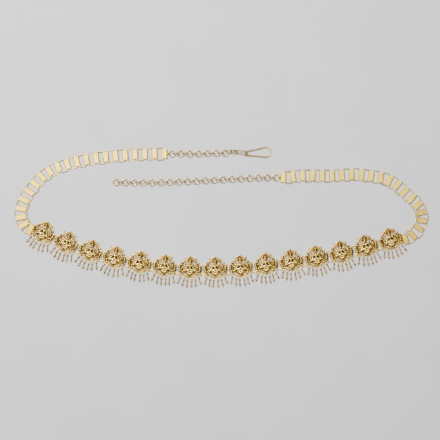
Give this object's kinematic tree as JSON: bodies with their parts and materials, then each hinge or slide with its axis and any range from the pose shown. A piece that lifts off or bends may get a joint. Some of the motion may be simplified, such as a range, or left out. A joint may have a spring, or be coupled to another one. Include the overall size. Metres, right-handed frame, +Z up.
{
  "type": "oddiyanam waist belt",
  "caption": "Linked waist belt of pierced cast figure plaques with bead drops, side chains of tube plates, an adjusting chain and a wire hook, lying open.",
  "frame": {"origin": "middle of the flat back of the middle plaque, on the surface that the belt lies on", "axes": "+X along the row of plaques to the viewer's right, +Y from the bead drops towards the figures' heads, +Z up out of the belt's face"},
  "size_m": [0.3721, 0.1272, 0.0062],
  "materials": {
    "plaque": "matte antique gold with dark recesses",
    "drops": "polished gold",
    "rings": "polished gold",
    "tube_plates": "polished pale gold",
    "end_chains": "polished gold",
    "hook": "polished gold"
  },
  "bodies": {
    "root": {"plaque_01": "plaque", "plaque_02": "plaque", "plaque_03": "plaque", "plaque_04": "plaque", "plaque_05": "plaque", "plaque_06": "plaque", "plaque_07": "plaque", "plaque_08": "plaque", "plaque_09": "plaque", "plaque_10": "plaque", "plaque_11": "plaque", "plaque_12": "plaque", "plaque_13": "plaque", "plaque_14": "plaque", "plaque_15": "plaque", "drops_01": "drops", "drops_02": "drops", "drops_03": "drops", "drops_04": "drops", "drops_05": "drops", "drops_06": "drops", "drops_07": "drops", "drops_08": "drops", "drops_09": "drops", "drops_10": "drops", "drops_11": "drops", "drops_12": "drops", "drops_13": "drops", "drops_14": "drops", "drops_15": "drops", "left_rings": "rings", "left_plates": "tube_plates", "left_end_plate": "tube_plates", "right_rings": "rings", "right_plates": "tube_plates", "right_end_plate": "tube_plates", "adjusting_chain": "end_chains", "hook_chain": "end_chains", "hook": "hook"}
  },
  "joints": []
}
